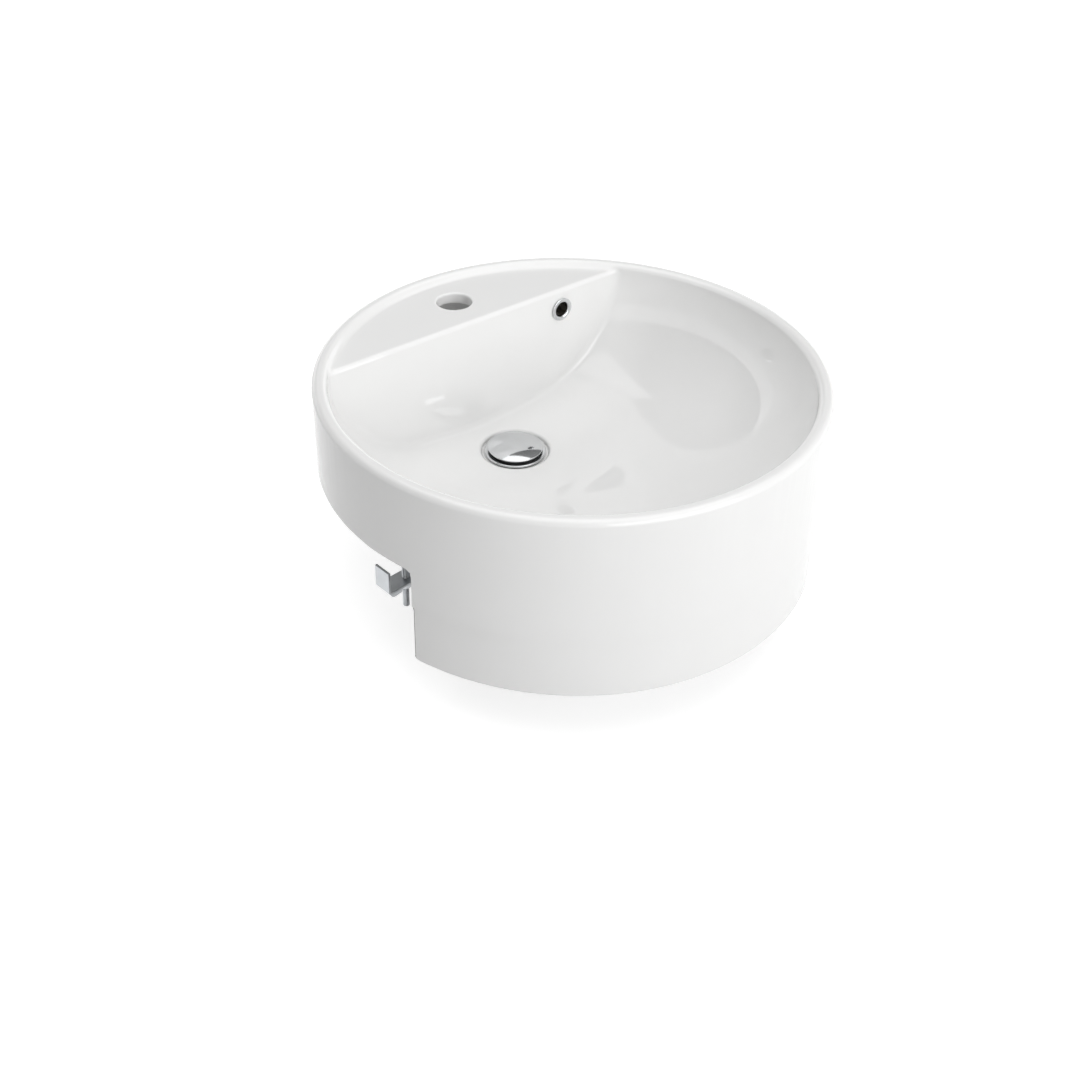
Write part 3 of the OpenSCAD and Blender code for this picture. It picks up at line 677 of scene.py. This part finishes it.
def make_basin():
    """The ceramic body, with a mark for dark matt clay: painted shade in the overflow's channel,
    and unglazed clay on the faces that it stood on in the kiln."""
    voxel, keep = ((0.0017, 0.35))
    mesh = form_mesh("basin", basin_form, nodes["basin_body"].data, voxel, keep)
    co = points_of(mesh)
    down = -slope_of(basin_form, co)[1][:, 2]
    # The channel's dark clay is painted shade; the faces it stood on in the kiln are unglazed clay.
    channel = (CHANNEL_SHADE_SKIN - duct(*co.T, 0)) / CHANNEL_SHADE_SKIN
    height = np.minimum(np.abs(co[:, 2]), co[:, 2] - FOOT_Z)
    stood = np.minimum((down - 0.8) / 0.15, (STOOD_SKIN - height) / STOOD_SKIN)
    clay_and_shade = mesh.attributes.new("clay_and_shade", "FLOAT", "POINT")
    clay_and_shade.data.foreach_set("value", np.clip(np.maximum(channel, stood), 0, 1))
    place("basin", mesh, "basin", "glazed_ceramic", "basin_body")


def make_overflow():
    """The ring with its flared mouth and sleeve, and the thin seal behind it."""
    sleeve, bore, seal_t = OVERFLOW_HOLE_R - TAIL_PLAY, OVERFLOW_HOLE_R - 0.00135, 0.0008
    ring_r, face, end = 0.012, 0.0024, -0.010
    outline = rounded([(bore, end, 0.0003), (bore, face, 0.0021), (ring_r, face - 0.0004, 0.0015),
                       (ring_r, seal_t, 0.0002), (sleeve, seal_t, 0), (sleeve, end, 0.0004)], 7)
    place_turned("overflow_ring_metal", AT_OVERFLOW, outline, "basin", "bright_chrome", "overflow_ring")
    seal_r = ring_r - 0.001
    outline = rounded([(sleeve, 0, 0), (sleeve, seal_t, 0), (seal_r, seal_t, 0.0003), (seal_r, 0, 0.0003)])
    place_turned("overflow_seal_ring", AT_OVERFLOW, outline, "basin", "black_rubber", "overflow_seal")


def make_cross():
    """The cross inside the waste that carries the click barrel."""
    low, high, reach, wide = CROSS_TOP - CROSS_H, CROSS_TOP, TAIL_R - 0.001, 0.007
    bar = rounded([(-reach, low, 0.0012), (reach, low, 0.0012), (reach, high, 0.0006),
                   (-reach, high, 0.0006)], 3)
    arm = edged(extruded("arm", bar, wide), 0.0005)
    cross = combined(moved(arm, Matrix.Rotation(math.pi / 4, 4, "Z")),
                     moved(arm, Matrix.Rotation(-math.pi / 4, 4, "Z")), "UNION")
    hub_r, hub_low, hub_high = 0.007, low - 0.0002, high + 0.0002
    hub = turned("hub", rounded([(0, hub_low, 0), (hub_r, hub_low, 0.0006), (hub_r, hub_high, 0.0002),
                                 (0, hub_high, 0)]), 48)
    cross = combined(cross, hub, "UNION")
    return combined(cross, drill(STUD_R, low, high), "DIFFERENCE")


def make_waste_tube():
    """The flanged and threaded tube, with its windows and cross."""
    low, high, step = TAIL_LOW + 0.0004, BOSS_Z + 0.003, TAIL_PITCH / 6
    outline = rounded([(BORE_R, TAIL_LOW, 0.0004), (BORE_R, FLANGE_TOP, 0.0016),
                       (FLANGE_R, FLANGE_TOP, 0.0009), (FLANGE_R, FLANGE_LOW, 0.0003),
                       (TAIL_R, FLANGE_LOW, 0)] + rows(TAIL_R, high, low, step) +
                      [(TAIL_R - 0.0004, TAIL_LOW, 0)], 5)
    tube = turned("tube", outline, 96, threaded(TAIL_R, TAIL_PITCH, 0.0011, low, high))
    across, wide = 0.05, 0.013
    window = edged(extruded("window", [(-across, WINDOW_LOW), (across, WINDOW_LOW),
                                       (across, WINDOW_TOP), (-across, WINDOW_TOP)], wide), 0.002)
    tube = combined(tube, moved(window, Matrix.Rotation(DUCT_ANGLE, 4, "Z")), "DIFFERENCE")
    tube = combined(tube, make_cross(), "UNION")
    bm = bmesh.new()
    bm.from_mesh(tube)
    place("waste_tube", moved(finish_mesh("waste_tube", bm), AT_WASTE), "basin", "bright_chrome",
          "waste_body")


def make_waste_rings():
    """What seals the waste against the ceramic, from the flange down to the slip washer."""
    inner, seal_r, under_r = TAIL_R + TAIL_PLAY, FLANGE_R - 0.001, 0.031
    slip_low = SLIP_Z - SLIP_T
    rings = (
        ("flange_seal_ring", "black_rubber", "waste_flange_seal",
         [(inner, RECESS_Z, 0.0002), (inner, FLANGE_LOW, 0.0002), (seal_r, FLANGE_LOW, 0.0005),
          (seal_r, RECESS_Z, 0.0005)]),
        ("under_seal_ring", "black_rubber", "waste_under_seal",
         [(inner, SLIP_Z, 0.0003), (inner, BOSS_Z, 0.0003), (under_r, BOSS_Z, 0.0008),
          (under_r, BOSS_Z - 0.003, 0.0012), (SLIP_R, SLIP_Z, 0.0006)]),
        ("slip_washer_ring", "white_plastic", "waste_slip_washer",
         [(inner, slip_low, 0.0002), (inner, SLIP_Z, 0.0002), (SLIP_R, SLIP_Z, 0.0004),
          (SLIP_R, slip_low, 0.0004)]))
    for name, slot, node, corners in rings:
        place_turned(name, AT_WASTE, rounded(corners), "basin", slot, node)


def make_back_nut():
    """The nut under the waste: six flats below a round collar."""
    flats, top, collar_r, corner_r = hexagon(0.054), SLIP_Z - SLIP_T, 0.029, 0.030
    low, inner, collar_low = top - NUT_H, TAIL_R + TAIL_PLAY, top - 0.002

    def nut_shape(a, r, z):
        """Six flats with their lower corners turned off at 60 degrees."""
        if r < (collar_r + corner_r) / 2:
            return r
        return min(flats(a), 0.0274 + 1.732 * (z - low))

    corners = ([(inner, low, 0.0008), (inner, top, 0.0004), (collar_r, top, 0.0005),
                (collar_r, collar_low, 0)] + rows(corner_r, collar_low - 0.0001, low, 0.0006))
    place_turned("back_nut", AT_WASTE, rounded(corners), "basin", "raw_brass", "waste_back_nut", 120,
                 nut_shape)


def make_cap():
    """The domed cap with its socket, and the dark seal that shows below its lip."""
    rise = CAP_TOP + CAP_RISE - CAP_EDGE
    dome_r = (CAP_R ** 2 + rise ** 2) / (2 * rise)
    dome = [(r, CAP_EDGE + rise - dome_r + math.sqrt(dome_r ** 2 - r ** 2), 0)
            for r in np.linspace(0, CAP_R - 0.0008, 18)]
    socket_r, socket_low, skirt_in = 0.007, SEAL_Z - 0.009, SEAL_IN - 0.0015
    seal_r, seal_top = CAP_R - 0.0009, CAP_EDGE - CAP_LIP
    corners = dome + [(CAP_R, CAP_EDGE, 0.0006), (CAP_R, seal_top, 0.0003), (SEAL_IN, seal_top, 0),
                      (SEAL_IN, CAP_Z, 0.0002), (skirt_in, CAP_Z, 0.0003),
                      (skirt_in, CAP_HOLLOW, 0.0004), (socket_r, CAP_HOLLOW, 0.0004),
                      (socket_r, socket_low, 0.0005), (ROD_R, socket_low, 0.0003),
                      (ROD_R, CAP_HOLLOW, 0), (0, CAP_HOLLOW, 0)]
    place_turned("plug_cap_metal", AT_WASTE, rounded(corners, 6), "plug", "bright_chrome", "plug_cap",
                 128)
    corners = [(SEAL_IN, SEAL_Z, 0.0006), (SEAL_IN, seal_top, 0.0001), (seal_r, seal_top, 0.0001),
               (seal_r, SEAL_Z, 0.0008)]
    place_turned("plug_seal_ring", AT_WASTE, rounded(corners), "plug", "black_rubber", "plug_seal")


def make_plunger():
    """The rod under the cap, with a crown that turns the ratchet."""
    tip_r, tip_z, crown_r, crown_top = 0.0025, ROTOR_Z - 0.0003, BARREL_IN - 0.0003, CROWN_Z + 0.006

    def slots(a, r, z):
        """Eight slots that run up into the crown."""
        near = abs((a + math.pi / 8) % (math.pi / 4) - math.pi / 8)
        return r - 0.002 if near < 0.1 and r > 0.005 and z < crown_top - 0.001 else r

    corners = [(0, tip_z, 0), (tip_r, tip_z, 0.0004), (tip_r, CROWN_Z, 0), (crown_r, CROWN_Z, 0),
               (crown_r, crown_top - 0.0011, 0), (crown_r, crown_top - 0.0009, 0),
               (crown_r, crown_top, 0.0004), (ROD_R, crown_top, 0.0006), (ROD_R, CAP_HOLLOW, 0.0003),
               (0, CAP_HOLLOW, 0)]
    place_turned("plunger", AT_WASTE, rounded(corners, 4), "plug", "white_plastic", "click_plunger", 96,
                 slots)


def make_ratchet():
    """The wheel that turns one step at each press, with four lugs."""
    bore, body_r, lug_r, lug_half = 0.00255, 0.0050, 0.0060, 0.0009
    top = ROTOR_Z + 0.006

    def lugs(a, r, z):
        near = abs((a + math.pi / 4) % (math.pi / 2) - math.pi / 4)
        if r < 0.0045:
            return r
        return lug_r if near * r < lug_half else body_r

    corners = [(bore, ROTOR_Z, 0.0002), (bore, top, 0.0002), (body_r, top, 0), (body_r, ROTOR_Z, 0)]
    place_turned("ratchet_wheel", AT_WASTE, rounded(corners, 3), "ratchet", "amber_plastic",
                 "click_rotor", 96, lugs)


def make_barrel():
    """The housing of the click mechanism and the collar that closes it."""
    corners = [(STUD_R, CROSS_TOP, 0.0003), (STUD_R, BARREL_FLOOR, 0.0003),
               (BARREL_IN, BARREL_FLOOR, 0.0006), (BARREL_IN, COLLAR_Z, 0.0002),
               (BARREL_R, COLLAR_Z, 0.0002), (BARREL_R, CROSS_TOP, 0.0009)]
    place_turned("barrel", AT_WASTE, rounded(corners), "basin", "white_plastic", "click_barrel")

    outer, skirt_low, rib_deep = BARREL_R + 0.0016, COLLAR_Z - 0.007, 0.00035

    def grip(a, r, z):
        """Fine ribs around the collar's skirt."""
        deep = rib_deep * (0.5 + 0.5 * math.cos(24 * a))
        return r - deep if r > outer - 1e-6 and z < COLLAR_Z + 0.001 else r

    rod_in, skirt_in, top = ROD_R + PLAY, BARREL_R + THREAD_PLAY, COLLAR_Z + COLLAR_H
    corners = [(rod_in, COLLAR_Z, 0.0002), (rod_in, top, 0.0004), (outer, top, 0.0006),
               (outer, COLLAR_Z + 0.0010, 0), (outer, COLLAR_Z + 0.0005, 0), (outer, skirt_low, 0),
               (skirt_in, skirt_low, 0.0003), (skirt_in, COLLAR_Z, 0)]
    place_turned("collar", AT_WASTE, rounded(corners), "basin", "white_plastic", "click_collar", 192,
                 grip)


def make_barrel_stud():
    """The screw that holds the barrel on the waste's cross, with a hexagon head."""
    low, high, head_r, head_h, tip = CROSS_TOP - 0.010, BARREL_FLOOR, STUD_R + 0.0015, 0.002, 0.0005
    flats = hexagon(2 * head_r * math.cos(math.pi / 6))

    def head(a, r, z):
        return flats(a) if r > STUD_R + 0.0001 else r

    corners = ([(0, low - head_h, 0), (head_r, low - head_h, 0), (head_r, low, 0)] +
               rows(STUD_R, low + 0.0001, high - tip, 0.0002) + [(STUD_R - tip, high, 0), (0, high, 0)])
    shape = threaded(STUD_R, STUD_PITCH, 0.0004, low, high - tip, head)
    place_turned("barrel_stud", AT_WASTE, rounded(corners), "basin", "raw_brass", "click_stud", 48,
                 shape)


def wing_nuts_form(x, y, z):
    """Four cast wing nuts, each two rounded wings grown out of a tapered hub."""
    hub_r, hub_taper, wing_r, wing_in, wing_out = 0.0052, 0.0008, 0.005, 0.004, 0.012
    half_t, tip_x, edge = 0.0014, 0.017, 0.0006
    whole = np.full(x.shape, 1.0)
    for a in CLAMP_ANGLES:
        c, s = math.cos(math.radians(a)), math.sin(math.radians(a))
        u, v = x * c + y * s - CLAMP_R, y * c - x * s
        hub = np.hypot(u, v) - hub_r - hub_taper * (z - WING_Z) / WING_HUB_H
        hub = meet(hub, slab(z, WING_Z, WING_Z + WING_HUB_H), edge)
        reach = np.clip(np.abs(u), wing_in, wing_out)
        wing = np.hypot(np.abs(u) - reach, z - WING_Z) - wing_r + 0.0012 * (wing_out - reach) / 0.008
        thick = np.abs(v) - half_t + 0.0005 * np.clip(np.abs(u), 0, tip_x) / tip_x
        wing = meet(wing, thick, edge)
        wing = np.maximum(wing, wing_in - np.abs(u))
        nut = join(hub, wing, 0.0014)
        nut = meet(nut, STUD_R + PLAY - np.hypot(u, v), 0.0004)
        whole = np.minimum(whole, nut)
    return whole


def make_wing_nuts():
    voxel, keep = ((0.0004, 0.4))
    mesh = form_mesh("wing_nuts", wing_nuts_form, nodes["clamp_wing_nuts"].data, voxel, keep)
    place("wing_nuts", mesh, "basin", "zinc_steel", "clamp_wing_nuts")


def make_anchors():
    """Plastic anchors in the ceramic, with rings that grip and a small flange below."""
    flange_r, flange_z = 0.007, CLAMP_Z - 0.0015

    def barbs(a, r, z):
        wave = (z / 0.0022) % 1
        return r - 0.0005 * wave if abs(r - ANCHOR_R) < 1e-6 and z > CLAMP_Z + 0.001 else r

    corners = ([(STUD_R, flange_z, 0.0002), (STUD_R, STUD_TOP, 0), (0, STUD_TOP, 0), (0, ANCHOR_TOP, 0)] +
               rows(ANCHOR_R, ANCHOR_TOP, CLAMP_Z, 0.00055) +
               [(flange_r, CLAMP_Z, 0.0003), (flange_r, flange_z, 0.0005)])
    place_on_clamps("anchors", turned("anchor", rounded(corners), 48, barbs), "white_plastic",
                    "clamp_anchors")


def make_studs():
    """Threaded studs in the anchors, and the washers under the claws."""
    low, high, tip = STUD_TOP - STUD_LEN, STUD_TOP, 0.0006
    corners = ([(0, low, 0), (STUD_R - tip, low, 0)] + rows(STUD_R, low + tip, high - tip, 0.0002) +
               [(STUD_R - tip, high, 0), (0, high, 0)])
    shape = threaded(STUD_R, STUD_PITCH, 0.00045, low + 0.0002, high)
    place_on_clamps("studs", turned("stud", rounded(corners), 24, shape), "zinc_steel", "clamp_studs")

    bore, washer_r, top, washer_t = STUD_R + PLAY, 0.008, PLATE_Z - 0.0003, 0.001
    corners = [(bore, top - washer_t, 0.0002), (bore, top, 0.0002), (washer_r, top, 0.0003),
               (washer_r, top - washer_t, 0.0002)]
    place_on_clamps("washers", turned("washer", rounded(corners), 48), "zinc_steel", "clamp_washers")


def make_claws():
    """Four bent steel claws, each on its own body."""
    outer, inner, end = 0.0035, 0.0012, 0.0004
    outline = rounded([(-CLAW_HEEL, PLATE_Z, outer), (CLAW_REACH, PLATE_Z, outer),
                       (CLAW_REACH, TOE_Z, end), (CLAW_REACH - CLAW_T, TOE_Z, end),
                       (CLAW_REACH - CLAW_T, PLATE_Z + CLAW_T, inner),
                       (-CLAW_HEEL + CLAW_T, PLATE_Z + CLAW_T, inner),
                       (-CLAW_HEEL + CLAW_T, HEEL_Z, end), (-CLAW_HEEL, HEEL_Z, end)], 6)
    claw = extruded("claw", outline, CLAW_W)
    claw = combined(claw, drill(STUD_R + PLAY, PLATE_Z, PLATE_Z + CLAW_T), "DIFFERENCE")
    claw = edged(claw, 0.0004, 50)
    for name, at in zip(CLAW_NAMES, AT_CLAMPS):
        place(name + "_plate", moved(claw, at), name + "_body", "zinc_steel", name)


make_basin()
make_overflow()
make_waste_tube()
make_waste_rings()
make_back_nut()
make_cap()
make_plunger()
make_ratchet()
make_barrel()
make_barrel_stud()
make_anchors()
make_studs()
make_wing_nuts()
make_claws()

# ---------------------------------------------------------------- stage, lights and camera
STUDIO_R = 6.0
STUDIO_H = 2.1
STUDIO_BEND = 1.5         # radius of the curve between the floor and the backdrop
STUDIO_SIDES = 96
STUDIO_Z = cad_bounds[0][2] - 0.002
STUDIO_GREY = 0.62
NEAR_R = 0.8              # the floor shows at its nearer strength up to here
FAR_R = 2.6               # and at its farther strength from here on


def seen_directly(tree):
    """1 for rays from the camera and for what metal and glass show, 0 for the light itself."""
    paths = tree.nodes.new("ShaderNodeLightPath")
    seen = paths.outputs["Is Camera Ray"]
    for label in ("Is Glossy Ray", "Is Transmission Ray"):
        both = tree.nodes.new("ShaderNodeMath")
        both.operation = "MAXIMUM"
        tree.links.new(seen, both.inputs[0])
        tree.links.new(paths.outputs[label], both.inputs[1])
        seen = both.outputs[0]
    return seen


def studio_mesh():
    """A round floor that bends up into a wall."""
    outline = [(1, STUDIO_Z), (STUDIO_R - STUDIO_BEND, STUDIO_Z)]
    outline += [(STUDIO_R - STUDIO_BEND * (1 - math.sin(a)), STUDIO_Z + STUDIO_BEND * (1 - math.cos(a)))
                for a in np.linspace(0, math.pi / 2, 9)[1:]]
    outline.append((STUDIO_R, STUDIO_H))
    turns = [2 * math.pi * i / STUDIO_SIDES for i in range(STUDIO_SIDES)]
    points = [(r * math.cos(a), r * math.sin(a), z) for r, z in outline for a in turns]
    points.append((0, 0, STUDIO_Z))
    faces = [(len(points) - 1, i, (i + 1) % STUDIO_SIDES) for i in range(STUDIO_SIDES)]
    for k in range(len(outline) - 1):
        here, after = k * STUDIO_SIDES, (k + 1) * STUDIO_SIDES
        for i in range(STUDIO_SIDES):
            j = (i + 1) % STUDIO_SIDES
            faces.append((here + i, after + i, after + j, here + j))
    mesh = bpy.data.meshes.new("studio_floor")
    mesh.from_pydata(points, [], faces)
    mesh.shade_smooth()
    return mesh


def studio_material(near, far, wall):
    """Pale and matt. It shows white, at strength near around the basin and far further out. The
    wall also lights the basin a little."""
    material = bpy.data.materials.new("studio_floor")
    material.use_nodes = True
    tree = material.node_tree
    shader = tree.nodes["Principled BSDF"]
    shader.inputs["Base Color"].default_value = (STUDIO_GREY, STUDIO_GREY, STUDIO_GREY, 1)
    shader.inputs["Roughness"].default_value = 0.9
    shader.inputs["Emission Color"].default_value = (1, 1, 1, 1)
    spot = tree.nodes.new("ShaderNodeTexCoord")
    away = tree.nodes.new("ShaderNodeVectorMath")
    away.operation = "LENGTH"
    tree.links.new(spot.outputs["Object"], away.inputs[0])
    distance = away.outputs["Value"]
    shown = ranged(tree, distance, NEAR_R, FAR_R, near, far, "SMOOTHSTEP")
    lit = ranged(tree, distance, STUDIO_R - STUDIO_BEND, STUDIO_R, 0, wall, "SMOOTHSTEP")
    amount = tree.nodes.new("ShaderNodeMath")
    amount.operation = "MULTIPLY_ADD"
    tree.links.new(seen_directly(tree), amount.inputs[0])
    tree.links.new(shown, amount.inputs[1])
    tree.links.new(lit, amount.inputs[2])
    tree.links.new(amount.outputs[0], shader.inputs["Emission Strength"])
    return material


def make_studio(near, far, wall):
    mesh = studio_mesh()
    floor = bpy.data.objects.new("studio_floor", mesh)
    bpy.context.scene.collection.objects.link(floor)
    mesh.materials.append(studio_material(near, far, wall))


def make_world(bright, dim, towards):
    """An even room that is brighter on one side, so that metal and glaze have something to show."""
    world = bpy.data.worlds.new("studio")
    bpy.context.scene.world = world
    world.use_nodes = True
    tree = world.node_tree
    background = tree.nodes["Background"]
    background.inputs["Color"].default_value = (1, 1, 1, 1)
    view = tree.nodes.new("ShaderNodeTexCoord")
    side = tree.nodes.new("ShaderNodeVectorMath")
    side.operation = "DOT_PRODUCT"
    side.inputs[1].default_value = Vector(towards).normalized()
    tree.links.new(view.outputs["Generated"], side.inputs[0])
    level = ranged(tree, side.outputs["Value"], -0.5, 0.5, dim, bright, "SMOOTHSTEP")
    tree.links.new(level, background.inputs["Strength"])


def make_light(name, spot, size, power):
    """A flat lamp that faces the basin."""
    data = bpy.data.lights.new(name, "AREA")
    data.shape = "RECTANGLE"
    data.size, data.size_y = size
    data.energy = power
    light = bpy.data.objects.new(name, data)
    bpy.context.scene.collection.objects.link(light)
    light.location = spot
    light.rotation_euler = (-Vector(spot)).to_track_quat("-Z", "Y").to_euler()
    return light


def make_camera(spot, looks_down, turned_right, lens, shift):
    """The camera, aimed by two angles in degrees."""
    data = bpy.data.cameras.new("camera")
    data.sensor_width = 36.0
    data.lens = lens
    data.shift_x, data.shift_y = shift
    camera = bpy.data.objects.new("camera", data)
    camera.location = spot
    camera.rotation_euler = Euler((math.radians(90 - looks_down), 0, math.radians(-turned_right)))
    bpy.context.scene.collection.objects.link(camera)
    bpy.context.scene.camera = camera


make_studio(near=0.66, far=1.0, wall=0.18)
make_world(bright=0.34, dim=0.08, towards=(0.2, -0.85, 0.35))
make_light("key", (0.05, -2.3, 0.9), size=(2.4, 1.4), power=35)
make_light("top", (0.1, -0.1, 2.0), size=(2.6, 2.6), power=27)
back_light = make_light("back", (-0.3, 1.9, 1.5), size=(1.4, 1.0), power=13)
back_light.visible_glossy = False  # keeps its mirror image out of the bowl's wall
make_camera((-0.6901, -0.7794, 0.6853), looks_down=29.72, turned_right=37.6, lens=44.99,
            shift=(0.0453, -0.1703))
bpy.context.scene.view_settings.view_transform = "Standard"
